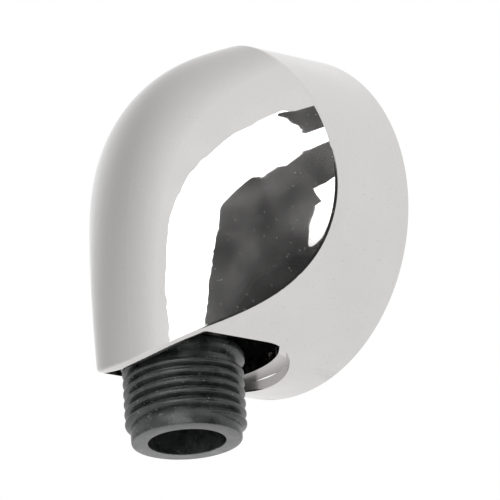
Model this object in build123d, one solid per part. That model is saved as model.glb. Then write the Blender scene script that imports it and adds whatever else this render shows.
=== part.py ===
from build123d import *
import os
from math import cos, radians, sin, tan

# Sizes in millimetres. The wall is the plane y = 0, and the fitting stands out toward -y.
# Collar of the cover, a drum round the wall axis
collar_radius = 30.0
cover_wall = 1.8
crease_round = 0.8

# Outlet axis, which leans away from the wall as it goes down
outlet_reach = 27.2
outlet_lean = 4.5

# Nose line of the hood in the middle plane, from below the collar up and back over it
nose_ahead = 15.25
nose_drop = 4.0
nose_lean = 2.9
nose_leg = 43.0
nose_back = 8.0
nose_rise = 0.45
nose_bend = 22.4

# Level sections of the hood at the ends and the middle of its height, as half widths and depths
# behind the nose: crown width, shoulder width, shoulder depth, foot depth, foot angle, foot length
foot_spare = 6.0
bottom_section = (14.9, 15.5, 7.2, 37.4, 32.8, 22.3)
middle_section = (9.7, 18.6, 6.5, 26.7, 42.3, 13.9)
top_section = (3.8, 11.9, 1.0, 20.5, 40.3, 10.2)
section_count = 10

# Outlet end of the waterway, with the turns of a G 1/2 thread outside and a plain collar at its end.
# The upper turns, inside the cover's slot, are lower than those that the hose screws onto.
outlet_length = 42.6
thread_radius = 10.4
thread_pitch = 1.814
thread_depth = 1.07
thread_crest = 0.56
thread_floor = 0.25
full_turns = 4
upper_turns = 3
end_collar_radius = 9.5
end_collar_length = 2.4
end_chamfer = 0.4
outlet_bore_radius = 6.7
barrel_start = 20.0
barrel_radius = 9.8
neck_radius = 7.9
bore_radius = 6.0

# Slot in the underside of the cover, round the outlet, with a thin wall of the hood left before it
slot_gap = 2.3
slot_rear = 8.1
slot_depth = 6.0
slot_wall = 1.2

# Flat ledge of the cover inside the slot, with a round opening that gives the hose's nut room
ledge_depth = 3.5
ledge_opening_radius = 16.8

# Wall socket of the waterway, with a G 1/2 thread inside and a wider seat for the seal at its floor
socket_radius = 13.5
socket_hole_radius = 9.32
socket_depth = 10.0
socket_floor = 3.0
seat_radius = 9.8

# Round plate of the waterway, which fills the collar behind, its screws and the posts of the cover
plate_back = 3.5
plate_thickness = 3.0
plate_gap = 2.2
screw_edge = 7.0
screw_radius = 1.2
screw_gap = 0.3
screw_length = 11.0
screw_head_radius = 2.8
screw_head_height = 1.9
drive_width = 0.8
drive_length = 3.2
drive_depth = 1.0
post_radius = 3.6
pilot_spare = 2.0

# Flat seal in the seat, and the gap round it and before it
seal_gap = 0.3
seal_thickness = 2.0

cut_spare = 5.0

# Depth from the wall is counted along wall_plane, depth down the outlet along outlet_plane.
wall_plane = Plane(origin=(0, 0, 0), x_dir=(0, 0, -1), z_dir=(0, -1, 0))
outlet_way = Vector(0, -sin(radians(outlet_lean)), -cos(radians(outlet_lean)))
outlet_plane = Plane(origin=(0, -outlet_reach, 0), x_dir=(1, 0, 0), z_dir=outlet_way)
corner = Location((0, -outlet_reach, 0))
upright = (Align.CENTER, Align.CENTER, Align.MIN)

nose_reach = outlet_reach + nose_ahead
nose_bottom = -collar_radius - nose_drop
nose_top = collar_radius + nose_rise
nose_rake = nose_leg * sin(radians(nose_lean))
nose_line = Bezier(
    (0, -nose_reach, nose_bottom),
    (0, nose_rake - nose_reach, nose_bottom + nose_leg * cos(radians(nose_lean))),
    (0, -nose_back - nose_bend, nose_top),
    (0, -nose_back, nose_top),
)


def rod(plane, radius, start, end):
    return plane.offset(start) * Cylinder(radius, end - start, align=upright)


def section_values(share):
    # Values at a share of the hood's height, through the bottom, middle and top sections.
    first = 2 * (share - 0.5) * (share - 1)
    middle = 4 * share * (1 - share)
    last = 2 * share * (share - 0.5)
    rows = zip(bottom_section, middle_section, top_section)
    return [first * a + middle * b + last * c for a, b, c in rows]


def hood_section(place, inset):
    # Rounded V with its nose at a place on the nose line, moved inward by the inset, closed behind the wall.
    nose = nose_line @ place
    way = nose_line % place
    tip = nose + Vector(0, way.Z, -way.Y) * inset
    values = section_values((nose.Z - nose_bottom) / (nose_top - nose_bottom))
    crown, shoulder, shoulder_depth, depth, foot_angle, foot_length = values
    slope = radians(foot_angle)
    foot = collar_radius + foot_spare - inset * tan(slope / 2)
    bend = foot - foot_length * cos(slope)
    bend_depth = depth - foot_length * sin(slope)
    behind = tip.Y - collar_radius
    right = Bezier((0, 0), (crown, 0), (shoulder, -shoulder_depth), (bend, -bend_depth), (foot, -depth))
    left = mirror(right, about=Plane.YZ)
    base = Polyline((foot, -depth), (foot, behind), (-foot, behind), (-foot, -depth))
    level = Plane(origin=tip, x_dir=(1, 0, 0), z_dir=(0, 0, -1))
    return level * make_face([right, base, left])


def hood_body(inset):
    return loft([hood_section(step / section_count, inset) for step in range(section_count + 1)])


def cover_form(inset, back):
    # Drum of the collar, cut off in front by the hood.
    return rod(wall_plane, collar_radius - inset, back, nose_reach + cut_spare) & hood_body(inset)


# Cover, one chrome plated shell, open toward the wall. The crease is rounded on one half and mirrored.
sharp = cover_form(0, 0)
drum_edges = sharp.faces().filter_by(GeomType.CYLINDER).edges()
right_face = sharp.faces().filter_by(GeomType.BSPLINE).sort_by(Axis.X)[-1]
crease = [edge for edge in right_face.edges() if edge in drum_edges]
half_size = 2 * (nose_reach + collar_radius)
half_space = Pos(half_size / 2, 0, 0) * Box(half_size, half_size, half_size)
half = fillet(crease, crease_round) & half_space
outer = half + mirror(half, about=Plane.YZ)
shell = outer - cover_form(cover_wall, -cut_spare)

# The slot has a round rear end and opens in front to the inside of the hood.
slot_radius = thread_radius + slot_gap
slot_middle = Pos(0, (nose_ahead - slot_rear) / 2)
slot_outline = slot_middle * Rot(0, 0, 90) * SlotCenterToCenter(slot_rear + nose_ahead, 2 * slot_radius)
slot = extrude(outlet_plane.offset(collar_radius - slot_depth) * slot_outline, collar_radius)

# Posts stand on the inside of the hood over the plate's screw holes.
plate_front = plate_back + plate_thickness
screw_end = plate_back + screw_length
plate_radius = collar_radius - cover_wall - plate_gap
screw_offset = plate_radius - screw_edge
screw_places = [Location((side * screw_offset, 0, 0)) for side in (-1, 1)]
pilot = rod(wall_plane, screw_radius + screw_gap, plate_back - cut_spare, screw_end + pilot_spare)
pilots = [place * pilot for place in screw_places]
hood_middle = hood_body(cover_wall / 2)
cover = shell - (slot & hood_body(slot_wall))
for place in screw_places:
    cover += place * rod(wall_plane, post_radius, plate_front, nose_reach) & hood_middle
cover -= pilots

# The ledge spans the inside of the cover from wall to wall, and ends clear of the plate.
ledge_front = collar_radius - ledge_depth
ledge_rear = ledge_front - cover_wall
ledge = rod(outlet_plane, 2 * collar_radius, ledge_rear, ledge_front)
ledge -= rod(outlet_plane, ledge_opening_radius, ledge_rear, ledge_front)
cover += ledge & cover_form(cover_wall / 2, plate_front + plate_gap)

# Waterway, one black moulding from the wall socket to the threaded outlet. Rings stand for the thread's turns.
thread_end = outlet_length - end_collar_length
groove_mouth = thread_pitch - thread_crest
last_groove = thread_end - thread_crest - groove_mouth / 2
thread_start = last_groove - full_turns * thread_pitch
groove_floor = thread_radius - thread_depth
groove_side = make_face(Polyline(
    (groove_floor, 0, -thread_floor / 2),
    (thread_radius, 0, -groove_mouth / 2),
    (thread_radius + cut_spare, 0, -groove_mouth / 2),
    (thread_radius + cut_spare, 0, groove_mouth / 2),
    (thread_radius, 0, groove_mouth / 2),
    (groove_floor, 0, thread_floor / 2),
    close=True,
))
groove = revolve(groove_side, Axis.Z)
groove_depths = [last_groove - turn * thread_pitch for turn in range(full_turns + upper_turns)]
seat_end = socket_depth + seal_gap + seal_thickness
end_collar = rod(outlet_plane, end_collar_radius, thread_end, outlet_length)
end_collar = chamfer(end_collar.edges().sort_by(Axis.Z)[0], end_chamfer)
waterway = rod(outlet_plane, neck_radius, 0, barrel_start)
waterway += rod(outlet_plane, barrel_radius, barrel_start, thread_start)
waterway += rod(outlet_plane, thread_radius, thread_start, thread_end)
waterway -= [outlet_plane.offset(depth) * groove for depth in groove_depths]
waterway += end_collar
waterway += corner * Sphere(neck_radius)
waterway += rod(wall_plane, neck_radius, seat_end, outlet_reach)
waterway += rod(wall_plane, socket_radius, 0, seat_end + socket_floor)
waterway += rod(wall_plane, plate_radius, plate_back, plate_front)
waterway -= rod(outlet_plane, bore_radius, 0, barrel_start)
waterway -= rod(outlet_plane, outlet_bore_radius, barrel_start, outlet_length)
waterway -= corner * Sphere(bore_radius)
waterway -= rod(wall_plane, bore_radius, seat_end, outlet_reach)
waterway -= rod(wall_plane, seat_radius, socket_depth, seat_end)
waterway -= rod(wall_plane, socket_hole_radius, 0, socket_depth)
waterway -= pilots

# Two screws, from the wall side through the plate into the posts
screw = rod(wall_plane, screw_head_radius, plate_back - screw_head_height, plate_back)
screw += rod(wall_plane, screw_radius, plate_back, screw_end)
drive = Box(drive_length, drive_width, 2 * drive_depth) + Box(drive_width, drive_length, 2 * drive_depth)
screw -= wall_plane.offset(plate_back - screw_head_height) * drive
screws = Compound([place * screw for place in screw_places])

# Flat seal on the floor of the wall socket
seal = rod(wall_plane, seat_radius - seal_gap, seat_end - seal_thickness, seat_end)
seal -= rod(wall_plane, bore_radius, 0, seat_end)

os.makedirs("parts", exist_ok=True)
export_step(cover, "parts/cover.step")
export_step(waterway, "parts/waterway.step")
export_step(screws, "parts/screws.step")
export_step(seal, "parts/seal.step")
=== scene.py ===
from math import cos, pi, radians, sin

import bmesh
import bpy
from mathutils import Matrix, Vector


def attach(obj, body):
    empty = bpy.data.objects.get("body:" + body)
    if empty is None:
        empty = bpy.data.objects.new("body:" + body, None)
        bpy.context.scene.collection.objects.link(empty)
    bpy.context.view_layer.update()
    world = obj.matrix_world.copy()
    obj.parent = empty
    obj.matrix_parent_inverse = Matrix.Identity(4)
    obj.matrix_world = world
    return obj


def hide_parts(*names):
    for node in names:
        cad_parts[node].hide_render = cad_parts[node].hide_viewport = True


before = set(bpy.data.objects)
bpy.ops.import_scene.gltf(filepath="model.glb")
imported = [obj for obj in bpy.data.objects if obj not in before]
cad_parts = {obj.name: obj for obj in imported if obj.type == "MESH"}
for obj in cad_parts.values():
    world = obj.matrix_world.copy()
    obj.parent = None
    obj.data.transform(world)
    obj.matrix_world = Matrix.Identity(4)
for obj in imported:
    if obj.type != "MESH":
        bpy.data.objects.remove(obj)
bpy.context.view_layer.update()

# Cover: a hood and round collar in one thin zinc casting, polished and chrome plated.
# It stands on the wall by the collar's rim and hides the waterway, which is screwed to it from behind.
# The flat ledge inside the slot in its underside was never polished.
mm = 0.001
lean = radians(4.5)
outlet_way = Vector((0, -sin(lean), -cos(lean)))
ledge_level = 29.0 * mm
above_underside = 29.5 * mm


def linear(code):
    channels = [int(code[place:place + 2], 16) / 255 for place in (1, 3, 5)]
    return [c / 12.92 if c <= 0.04045 else ((c + 0.055) / 1.055) ** 2.4 for c in channels] + [1]


def add(tree, kind, inputs, **settings):
    made = tree.nodes.new(kind)
    for name, value in settings.items():
        setattr(made, name, value)
    for name, value in inputs.items():
        if isinstance(value, bpy.types.NodeSocket):
            tree.links.new(value, made.inputs[name])
        else:
            made.inputs[name].default_value = value
    return made


# Polished chrome plate: a near mirror, with slow upright waves left by polishing, a faint haze and dust.
# The specks of dust are drawn coarser than real ones, so that they show.
chrome_tone = linear("#D3D1D0")
chrome = bpy.data.materials.new("polished_chrome_plate")
chrome.use_nodes = True
tree = chrome.node_tree
surface = tree.nodes["Principled BSDF"]
surface.inputs["Base Color"].default_value = chrome_tone
surface.inputs["Metallic"].default_value = 1.0
place = add(tree, "ShaderNodeTexCoord", {}).outputs["Object"]
haze = add(tree, "ShaderNodeTexNoise", {"Vector": place, "Scale": 1 / (9 * mm), "Detail": 4.0})
gloss = add(
    tree, "ShaderNodeMapRange",
    {"Value": haze.outputs["Fac"], "From Min": 0.35, "From Max": 0.75, "To Min": 0.01, "To Max": 0.04},
)
tree.links.new(gloss.outputs["Result"], surface.inputs["Roughness"])
upright = add(tree, "ShaderNodeMapping", {"Vector": place, "Scale": (1.0, 1.0, 0.25)})
waves = add(
    tree, "ShaderNodeTexNoise",
    {"Vector": upright.outputs["Vector"], "Scale": 1 / (8 * mm), "Detail": 1.0},
)
relief = add(
    tree, "ShaderNodeBump",
    {"Height": waves.outputs["Fac"], "Strength": 1.0, "Distance": 0.002 * mm},
)
tree.links.new(relief.outputs["Normal"], surface.inputs["Normal"])
film = add(
    tree, "ShaderNodeMapRange",
    {"Value": haze.outputs["Fac"], "From Min": 0.35, "From Max": 0.7, "To Min": 0.02, "To Max": 0.15},
)

# The ledge is what faces down the outlet from above the cover's underside.
form = add(tree, "ShaderNodeNewGeometry", {})
facing = add(
    tree, "ShaderNodeVectorMath",
    {0: form.outputs["True Normal"], 1: outlet_way}, operation="DOT_PRODUCT",
)
downward = add(
    tree, "ShaderNodeMapRange",
    {"Value": facing.outputs["Value"], "From Min": 0.95, "From Max": 0.98},
)
depth = add(tree, "ShaderNodeVectorMath", {0: place, 1: outlet_way}, operation="DOT_PRODUCT")
within = add(
    tree, "ShaderNodeMapRange",
    {"Value": depth.outputs["Value"], "From Min": above_underside, "From Max": ledge_level, "To Max": 0.9},
)
unpolished = add(
    tree, "ShaderNodeMath",
    {0: downward.outputs["Result"], 1: within.outputs["Result"]}, operation="MULTIPLY",
)
dull = add(
    tree, "ShaderNodeMath",
    {0: film.outputs["Result"], 1: unpolished.outputs["Value"]}, operation="MAXIMUM",
)
bloom = add(tree, "ShaderNodeBsdfAnisotropic", {"Color": chrome_tone, "Roughness": 0.4})
hazed = add(
    tree, "ShaderNodeMixShader",
    {0: dull.outputs["Value"], 1: surface.outputs["BSDF"], 2: bloom.outputs["BSDF"]},
)
grit = add(tree, "ShaderNodeTexVoronoi", {"Vector": place, "Scale": 1 / (1.1 * mm)})
speck = add(
    tree, "ShaderNodeMapRange",
    {"Value": grit.outputs["Distance"], "From Min": 0.06, "From Max": 0.14, "To Min": 0.35, "To Max": 0.0},
)
dust = add(tree, "ShaderNodeBsdfDiffuse", {"Color": linear("#BFBDBA")})
coated = add(
    tree, "ShaderNodeMixShader",
    {0: speck.outputs["Result"], 1: hazed.outputs["Shader"], 2: dust.outputs["BSDF"]},
)
tree.links.new(coated.outputs["Shader"], tree.nodes["Material Output"].inputs["Surface"])
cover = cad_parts["cover"]
cover.data.materials.clear()
cover.data.materials.append(chrome)

# Waterway: one black ABS moulding, from the threaded socket on the wall pipe through an elbow
# down to the hose thread. A round plate about the socket carries the screws that hold the cover.
reach = 27.2 * mm
neck = 7.9 * mm
water_bore = 6.0 * mm
outlet_bore = 6.7 * mm
outlet_bore_top = 20.0 * mm
outlet_end = 42.6 * mm
shoulder_top = 26.2 * mm
pitch = 1.814 * mm
outlet_root = 9.33 * mm
outlet_crest = 10.4 * mm
thread_top = 29.4 * mm
thread_bottom = 39.9 * mm
outlet_ridge_start = 29.8 * mm
outlet_ridge_end = 40.1 * mm
outlet_ridge_turn = radians(101)
end_collar = 9.5 * mm
end_collar_top = 40.2 * mm
end_round = 0.35 * mm
end_round_middle = 0.1 * mm
socket_mouth = 11.3 * mm
mouth_round = 0.3 * mm
socket_root = 10.5 * mm
socket_root_start = 1.2 * mm
socket_root_end = 9.6 * mm
socket_crest = 9.32 * mm
socket_ridge_start = 1.6 * mm
socket_ridge_end = 9.0 * mm
socket_depth = 10.0 * mm
socket_wall = 13.5 * mm
socket_length = 15.3 * mm
seat = 9.8 * mm
seat_depth = 12.3 * mm
edge_round = 0.4 * mm
plate_edge = 26.0 * mm
plate_back = 3.5 * mm
plate_front = 6.5 * mm
plate_round = 0.3 * mm
wall_frame = Matrix(((1, 0, 0, 0), (0, 0, -1, 0), (0, 1, 0, 0), (0, 0, 0, 1)))
outlet_frame = Matrix((
    (1, 0, 0, 0),
    (0, -cos(lean), -sin(lean), -reach),
    (0, sin(lean), -cos(lean), 0),
    (0, 0, 0, 1),
))
mitre = cos(lean) / (1 + sin(lean))


def carry(mesh, rim, matrix):
    grown = bmesh.ops.extrude_edge_only(mesh, edges=rim)["geom"]
    verts = {part for part in grown if isinstance(part, bmesh.types.BMVert)}
    bmesh.ops.transform(mesh, matrix=matrix, verts=list(verts))
    edges = [part for part in grown if isinstance(part, bmesh.types.BMEdge)]
    return [edge for edge in edges if set(edge.verts) <= verts]


def ring_at(axis, scale, depth, slope):
    local = Matrix(((scale, 0, 0, 0), (0, scale, 0, 0), (0, slope * scale, 0, depth), (0, 0, 0, 1)))
    return axis @ local @ axis.inverted()


# One rim is carried from the outlet's mouth up the inside to the wall, and back down the outside.
# Each ring has an axis, a radius, a depth along the axis, and a slope where two axes meet.
moulding = bmesh.new()
first = bmesh.ops.create_circle(
    moulding, segments=96, radius=outlet_bore,
    matrix=outlet_frame @ Matrix.Translation((0, 0, outlet_end)),
)
start_rim = list({edge for vert in first["verts"] for edge in vert.link_edges})
bore_rings = (
    (outlet_frame, outlet_bore, outlet_bore_top, 0),
    (outlet_frame, water_bore, outlet_bore_top, 0),
    (outlet_frame, water_bore, 0, -mitre),
    (wall_frame, water_bore, seat_depth, 0),
)
socket_rings = (
    (wall_frame, seat, seat_depth, 0),
    (wall_frame, seat, socket_depth, 0),
    (wall_frame, socket_root, socket_root_end, 0),
    (wall_frame, socket_root, socket_root_start, 0),
    (wall_frame, socket_mouth - mouth_round, mouth_round, 0),
    (wall_frame, socket_mouth, 0, 0),
    (wall_frame, socket_wall - edge_round, 0, 0),
    (wall_frame, socket_wall, edge_round, 0),
)
plate_rings = (
    (wall_frame, socket_wall, plate_back, 0),
    (wall_frame, plate_edge - plate_round, plate_back, 0),
    (wall_frame, plate_edge, plate_back + plate_round, 0),
    (wall_frame, plate_edge, plate_front - plate_round, 0),
    (wall_frame, plate_edge - plate_round, plate_front, 0),
    (wall_frame, socket_wall, plate_front, 0),
)
elbow_rings = (
    (wall_frame, socket_wall, socket_length - edge_round, 0),
    (wall_frame, socket_wall - edge_round, socket_length, 0),
    (wall_frame, neck, socket_length, 0),
    (wall_frame, neck, reach, mitre),
    (outlet_frame, neck, shoulder_top, 0),
)
shoulder_rings = (
    (outlet_frame, 9.4 * mm, 26.35 * mm, 0),
    (outlet_frame, 10.15 * mm, 26.8 * mm, 0),
    (outlet_frame, 10.6 * mm, 27.5 * mm, 0),
    (outlet_frame, 10.7 * mm, 28.2 * mm, 0),
    (outlet_frame, 10.6 * mm, 28.7 * mm, 0),
)
end_rings = (
    (outlet_frame, outlet_root, thread_top, 0),
    (outlet_frame, outlet_root, thread_bottom, 0),
    (outlet_frame, end_collar, end_collar_top, 0),
    (outlet_frame, end_collar, outlet_end - end_round, 0),
    (outlet_frame, end_collar - end_round_middle, outlet_end - end_round_middle, 0),
    (outlet_frame, end_collar - end_round, outlet_end, 0),
)
rim = start_rim
radius = outlet_bore
for axis, wanted, depth, slope in (
    bore_rings + socket_rings + plate_rings + elbow_rings + shoulder_rings + end_rings
):
    rim = carry(moulding, rim, ring_at(axis, wanted / radius, depth, slope))
    radius = wanted
bmesh.ops.bridge_loops(moulding, edges=rim + start_rim)


def thread(mesh, place, root, crest, start, end, turn):
    # One ridge of a right hand pipe thread with a rounded crest, which sinks into the wall at its end.
    foot_sink = 0.06
    outside_sink = 0.013
    inside_sink = 0.016
    half_foot = 0.44 * pitch
    half_crest = 0.17 * pitch
    crest_round = 0.14 * pitch
    steps_a_turn = 72
    sinking_steps = 9
    sunk = root + (root - crest) * foot_sink
    outline = ((sunk, -half_foot), (crest, -half_crest), (crest, half_crest), (sunk, half_foot))
    turned = place @ Matrix.Rotation(turn, 4, "Z")
    verts = [mesh.verts.new(turned @ Vector((r, 0, start + along))) for r, along in outline]
    mesh.faces.new(verts)
    bmesh.ops.bevel(
        mesh, geom=verts[1:3], offset=crest_round, affect="VERTICES", segments=3, profile=0.5, material=-1,
    )
    ridge = verts[0].link_faces[0]
    turns = (end - start) / pitch
    count = round(turns * steps_a_turn)
    axis = place.to_3x3() @ Vector((0, 0, 1))
    step = {"cent": place.translation, "axis": axis, "dvec": axis * (end - start) / count}
    section = [ridge] + list(ridge.edges) + list(ridge.verts)
    last = bmesh.ops.spin(mesh, geom=section, angle=2 * pi * turns, steps=count, **step)["geom_last"]
    shrink = 1 - outside_sink if crest > root else 1 + inside_sink
    sink = place @ Matrix.Diagonal((shrink, shrink, 1, 1)) @ place.inverted()
    for _ in range(sinking_steps):
        last = bmesh.ops.spin(mesh, geom=last, angle=2 * pi * turns / count, steps=1, **step)["geom_last"]
        verts = [part for part in last if isinstance(part, bmesh.types.BMVert)]
        bmesh.ops.transform(mesh, matrix=sink, verts=verts)


thread(
    moulding, outlet_frame, outlet_root, outlet_crest,
    start=outlet_ridge_start, end=outlet_ridge_end, turn=outlet_ridge_turn,
)
thread(
    moulding, wall_frame, socket_root, socket_crest,
    start=socket_ridge_start, end=socket_ridge_end, turn=0,
)

bmesh.ops.remove_doubles(moulding, verts=moulding.verts, dist=0.001 * mm)
bmesh.ops.recalc_face_normals(moulding, faces=moulding.faces)
waterway_mesh = bpy.data.meshes.new("waterway_moulding")
moulding.to_mesh(waterway_mesh)
moulding.free()
waterway_mesh.shade_smooth()
waterway_mesh.set_sharp_from_angle(angle=radians(32))
waterway = bpy.data.objects.new("waterway_moulding", waterway_mesh)
bpy.context.scene.collection.objects.link(waterway)

# Black ABS, as moulded: dull black with a fine grain, cloudy with dust, and with painted light that makes
# its end face pale where it faces the floor.
# The flecks of dust are drawn coarser than real ones, so that they show.
plastic = bpy.data.materials.new("black_moulded_abs")
plastic.use_nodes = True
tree = plastic.node_tree
surface = tree.nodes["Principled BSDF"]
place = add(tree, "ShaderNodeTexCoord", {}).outputs["Object"]
dust = add(tree, "ShaderNodeTexNoise", {"Vector": place, "Scale": 1 / (2.5 * mm), "Detail": 6.0})
tone = add(tree, "ShaderNodeValToRGB", {"Fac": dust.outputs["Fac"]})
tone.color_ramp.elements[0].position = 0.35
tone.color_ramp.elements[0].color = linear("#252827")
tone.color_ramp.elements[1].position = 0.75
tone.color_ramp.elements[1].color = linear("#414543")
# Painted light: the end face, which looks down at the pale floor, is painted a paler grey as if lit from
# below.
depth = add(tree, "ShaderNodeVectorMath", {0: place, 1: outlet_way}, operation="DOT_PRODUCT")
end_depth = outlet_end + outlet_way.dot(outlet_frame.translation)
painted_end_light = add(
    tree, "ShaderNodeMapRange",
    {"Value": depth.outputs["Value"], "From Min": end_depth - 0.2 * mm, "From Max": end_depth - 0.02 * mm},
)
tone_and_end_light = add(
    tree, "ShaderNodeMix",
    {"Factor": painted_end_light.outputs["Result"], "A": tone.outputs["Color"], "B": linear("#626563")},
    data_type="RGBA",
)
flecks = add(tree, "ShaderNodeTexNoise", {"Vector": place, "Scale": 1 / (0.7 * mm), "Detail": 2.0})
fleck = add(
    tree, "ShaderNodeMapRange",
    {"Value": flecks.outputs["Fac"], "From Min": 0.66, "From Max": 0.74, "To Max": 0.7},
)
dusted = add(
    tree, "ShaderNodeMix",
    {"Factor": fleck.outputs["Result"], "A": tone_and_end_light.outputs["Result"], "B": linear("#8E908D")},
    data_type="RGBA",
)
tree.links.new(dusted.outputs["Result"], surface.inputs["Base Color"])
gloss = add(
    tree, "ShaderNodeMapRange",
    {"Value": dust.outputs["Fac"], "From Min": 0.3, "From Max": 0.7, "To Min": 0.22, "To Max": 0.38},
)
tree.links.new(gloss.outputs["Result"], surface.inputs["Roughness"])
grain = add(tree, "ShaderNodeTexNoise", {"Vector": place, "Scale": 1 / (0.5 * mm), "Detail": 3.0})
relief = add(
    tree, "ShaderNodeBump",
    {"Height": grain.outputs["Fac"], "Strength": 0.6, "Distance": 0.03 * mm},
)
tree.links.new(relief.outputs["Normal"], surface.inputs["Normal"])
waterway_mesh.materials.append(plastic)
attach(waterway, "root")
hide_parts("waterway")

# Screws: two short steel screws with cross recesses, zinc plated.
# They go in from the wall side, through the waterway's plate into the cover's posts.
# Zinc plated steel: a pale, slightly blue grey that is cloudy and half dull.
zinc = bpy.data.materials.new("zinc_plated_steel")
zinc.use_nodes = True
tree = zinc.node_tree
surface = tree.nodes["Principled BSDF"]
surface.inputs["Metallic"].default_value = 1.0
place = add(tree, "ShaderNodeTexCoord", {}).outputs["Object"]
bloom = add(tree, "ShaderNodeTexNoise", {"Vector": place, "Scale": 1 / (0.8 * mm), "Detail": 5.0})
tone = add(tree, "ShaderNodeValToRGB", {"Fac": bloom.outputs["Fac"]})
tone.color_ramp.elements[0].position = 0.35
tone.color_ramp.elements[0].color = linear("#A9ADB2")
tone.color_ramp.elements[1].position = 0.7
tone.color_ramp.elements[1].color = linear("#C6C8C9")
tree.links.new(tone.outputs["Color"], surface.inputs["Base Color"])
gloss = add(
    tree, "ShaderNodeMapRange",
    {"Value": bloom.outputs["Fac"], "From Min": 0.3, "From Max": 0.7, "To Min": 0.25, "To Max": 0.42},
)
tree.links.new(gloss.outputs["Result"], surface.inputs["Roughness"])
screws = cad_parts["screws"]
screws.data.materials.clear()
screws.data.materials.append(zinc)

# Seal: a flat ring stamped from black rubber sheet, loose in the seat at the floor of the socket.
# The end of the wall pipe presses on it.
# Rubber sheet: a dull black, a little grey where its surface has bloomed.
rubber = bpy.data.materials.new("black_rubber_sheet")
rubber.use_nodes = True
tree = rubber.node_tree
surface = tree.nodes["Principled BSDF"]
place = add(tree, "ShaderNodeTexCoord", {}).outputs["Object"]
bloom = add(tree, "ShaderNodeTexNoise", {"Vector": place, "Scale": 1 / (1.2 * mm), "Detail": 5.0})
tone = add(tree, "ShaderNodeValToRGB", {"Fac": bloom.outputs["Fac"]})
tone.color_ramp.elements[0].position = 0.35
tone.color_ramp.elements[0].color = linear("#2A2A2A")
tone.color_ramp.elements[1].position = 0.75
tone.color_ramp.elements[1].color = linear("#3E3D3B")
tree.links.new(tone.outputs["Color"], surface.inputs["Base Color"])
surface.inputs["Roughness"].default_value = 0.75
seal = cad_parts["seal"]
seal.data.materials.clear()
seal.data.materials.append(rubber)

# Floor: a plain pale sheet far below, which looks white to the camera and in the chrome,
# and still takes a little of the fitting's shadow.
floor_size = 5.0
floor_level = -0.6
floor_form = bmesh.new()
bmesh.ops.create_grid(
    floor_form, x_segments=1, y_segments=1, size=floor_size,
    matrix=Matrix.Translation((0, 0, floor_level)),
)
floor_mesh = bpy.data.meshes.new("floor")
floor_form.to_mesh(floor_mesh)
floor_form.free()
floor = bpy.data.objects.new("floor", floor_mesh)
bpy.context.scene.collection.objects.link(floor)
pale = bpy.data.materials.new("pale_floor")
pale.use_nodes = True
tree = pale.node_tree
surface = tree.nodes["Principled BSDF"]
surface.inputs["Base Color"].default_value = linear("#E8E7E6")
surface.inputs["Roughness"].default_value = 0.9
path = add(tree, "ShaderNodeLightPath", {})
seen = add(
    tree, "ShaderNodeMath",
    {0: path.outputs["Is Camera Ray"], 1: path.outputs["Is Glossy Ray"]}, operation="MAXIMUM",
)
shown = add(
    tree, "ShaderNodeMath",
    {0: seen.outputs["Value"], 1: path.outputs["Is Transmission Ray"]}, operation="MAXIMUM",
)
part_shown = add(
    tree, "ShaderNodeMapRange",
    {"Value": path.outputs["Is Camera Ray"], "To Min": 1.0, "To Max": 0.9},
)
glow = add(tree, "ShaderNodeEmission", {"Color": (1, 1, 1, 1), "Strength": 1.0})
amount = add(
    tree, "ShaderNodeMath",
    {0: shown.outputs["Value"], 1: part_shown.outputs["Result"]}, operation="MULTIPLY",
)
mixed = add(
    tree, "ShaderNodeMixShader",
    {0: amount.outputs["Value"], 1: surface.outputs["BSDF"], 2: glow.outputs["Emission"]},
)
tree.links.new(mixed.outputs["Shader"], tree.nodes["Material Output"].inputs["Surface"])
floor_mesh.materials.append(pale)

# Cards: a soft light in front and to the right, a strip light, and the dark side of the room,
# which the chrome shows. Each is a flat sheet with rounded corners, hidden from the camera.
# Corners are directions from the fitting, as degrees to the right of straight ahead and degrees up.
corner_round = 0.025
soft_edge = ((14, -8), (12, 18), (0, 28), (1, 36), (12, 43), (38, 47), (52, 28), (66, 5), (66, -8))
dark_edge = ((38, 31), (45, 22), (54, 14), (60, -12), (85, -12), (85, 25), (50, 25), (44, 30))
corner_edge = ((38, 46), (47, 31), (52, 30), (48, 38))
strip_edge = ((53, 14), (61, 4), (59, 4), (53, 9))


def toward(azimuth, elevation):
    around = radians(azimuth)
    rise = radians(elevation)
    return Vector((sin(around) * cos(rise), -cos(around) * cos(rise), sin(rise)))


def card(name, facing, distance, corners, code, strength):
    sheet_form = bmesh.new()
    verts = []
    for azimuth, elevation in corners:
        way = toward(azimuth, elevation)
        verts.append(sheet_form.verts.new(way * distance / way.dot(facing)))
    sheet_form.faces.new(verts)
    bmesh.ops.bevel(
        sheet_form, geom=verts, offset=corner_round * distance, affect="VERTICES", segments=6, profile=0.5,
        material=-1, clamp_overlap=True,
    )
    mesh = bpy.data.meshes.new(name)
    sheet_form.to_mesh(mesh)
    sheet_form.free()
    made = bpy.data.objects.new(name, mesh)
    bpy.context.scene.collection.objects.link(made)
    made.visible_camera = False
    look = bpy.data.materials.new(name)
    look.use_nodes = True
    sheet = look.node_tree.nodes["Principled BSDF"]
    sheet.inputs["Base Color"].default_value = linear(code)
    sheet.inputs["Roughness"].default_value = 1.0
    sheet.inputs["Emission Color"].default_value = (1, 1, 1, 1)
    sheet.inputs["Emission Strength"].default_value = strength
    mesh.materials.append(look)


soft_way = toward(24, 15)
dark_way = toward(58, 20)
card("soft_light", soft_way, distance=3.0, corners=soft_edge, code="#FFFFFF", strength=2.2)
card("strip_light", dark_way, distance=1.9, corners=strip_edge, code="#FFFFFF", strength=2.2)
card("dark_room", dark_way, distance=2.0, corners=dark_edge, code="#484848", strength=0.0)
card("dark_corner", dark_way, distance=2.0, corners=corner_edge, code="#484848", strength=0.0)

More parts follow.
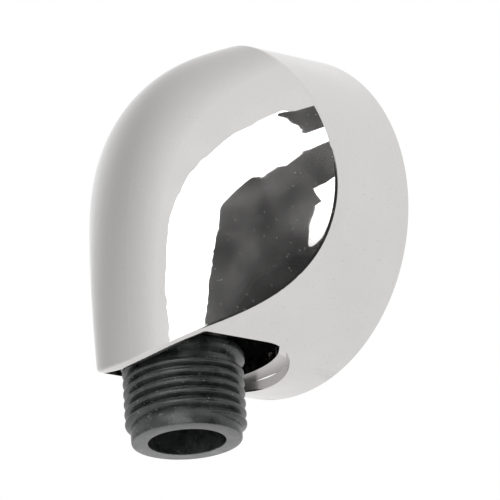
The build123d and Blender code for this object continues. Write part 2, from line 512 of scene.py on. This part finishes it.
# Flag: a round black cloth close by at the right, whose edge fades out.
# The rounded crease of the cover shows it as a dark line.
flag_way = toward(86, -8)
flag_middle = flag_way * 0.5
flag_radius = 0.36
fade_start = 0.2
fade_end = 0.35
flag_form = bmesh.new()
flag_turn = flag_way.to_track_quat("Z", "Y").to_matrix().to_4x4()
bmesh.ops.create_circle(
    flag_form, cap_ends=True, segments=64, radius=flag_radius,
    matrix=Matrix.Translation(flag_middle) @ flag_turn,
)
flag_mesh = bpy.data.meshes.new("dark_flag")
flag_form.to_mesh(flag_mesh)
flag_form.free()
flag = bpy.data.objects.new("dark_flag", flag_mesh)
bpy.context.scene.collection.objects.link(flag)
flag.visible_camera = False
cloth = bpy.data.materials.new("dark_flag")
cloth.use_nodes = True
tree = cloth.node_tree
surface = tree.nodes["Principled BSDF"]
surface.inputs["Base Color"].default_value = linear("#303030")
surface.inputs["Roughness"].default_value = 1.0
place = add(tree, "ShaderNodeTexCoord", {}).outputs["Object"]
away = add(tree, "ShaderNodeVectorMath", {0: place, 1: flag_middle}, operation="DISTANCE")
cloth_edge = add(
    tree, "ShaderNodeMapRange",
    {"Value": away.outputs["Value"], "From Min": fade_end, "From Max": fade_start},
    interpolation_type="SMOOTHSTEP",
)
tree.links.new(cloth_edge.outputs["Result"], surface.inputs["Alpha"])
flag_mesh.materials.append(cloth)

# Surroundings: white to the camera, and in the chrome white with a soft grey side at the left.
# They light the fitting a little less than white.
world = bpy.data.worlds.new("studio")
bpy.context.scene.world = world
world.use_nodes = True
tree = world.node_tree
path = add(tree, "ShaderNodeLightPath", {})
seen = add(
    tree, "ShaderNodeMath",
    {0: path.outputs["Is Camera Ray"], 1: path.outputs["Is Glossy Ray"]}, operation="MAXIMUM",
)
shown = add(
    tree, "ShaderNodeMath",
    {0: seen.outputs["Value"], 1: path.outputs["Is Transmission Ray"]}, operation="MAXIMUM",
)
way = add(tree, "ShaderNodeTexCoord", {}).outputs["Generated"]
side = add(tree, "ShaderNodeVectorMath", {0: way, 1: toward(-80, 35)}, operation="DOT_PRODUCT")
shade = add(
    tree, "ShaderNodeMapRange",
    {"Value": side.outputs["Value"], "From Min": 0.55, "To Min": 1.0, "To Max": 0.56},
)
level = add(
    tree, "ShaderNodeMix",
    {"Factor": path.outputs["Is Camera Ray"], "A": shade.outputs["Result"], "B": 1.0},
)
strength = add(
    tree, "ShaderNodeMix",
    {"Factor": shown.outputs["Value"], "A": 0.7, "B": level.outputs["Result"]},
)
background = tree.nodes["Background"]
background.inputs["Color"].default_value = (1, 1, 1, 1)
tree.links.new(strength.outputs["Result"], background.inputs["Strength"])

# Camera: below the fitting and to its right, a little rolled, with a long lens.
# The shift brings the fitting to its place in the picture.
camera_distance = 1.2
camera_azimuth = 42.26
camera_elevation = -17.40
roll = radians(-7.07)
back = toward(camera_azimuth, camera_elevation)
level_right = toward(camera_azimuth + 90, 0)
level_up = back.cross(level_right)
right = level_right * cos(roll) + level_up * sin(roll)
up = level_up * cos(roll) - level_right * sin(roll)
camera_data = bpy.data.cameras.new("camera")
camera_data.lens = 494.5
camera_data.sensor_width = 36.0
camera_data.shift_x = -0.0656
camera_data.shift_y = -0.0406
camera_data.clip_start = 0.05
camera_data.clip_end = 30.0
camera = bpy.data.objects.new("camera", camera_data)
bpy.context.scene.collection.objects.link(camera)
turned = Matrix((right, up, back)).transposed().to_4x4()
camera.matrix_world = Matrix.Translation(back * camera_distance) @ turned
bpy.context.scene.camera = camera
bpy.context.scene.view_settings.view_transform = "Standard"
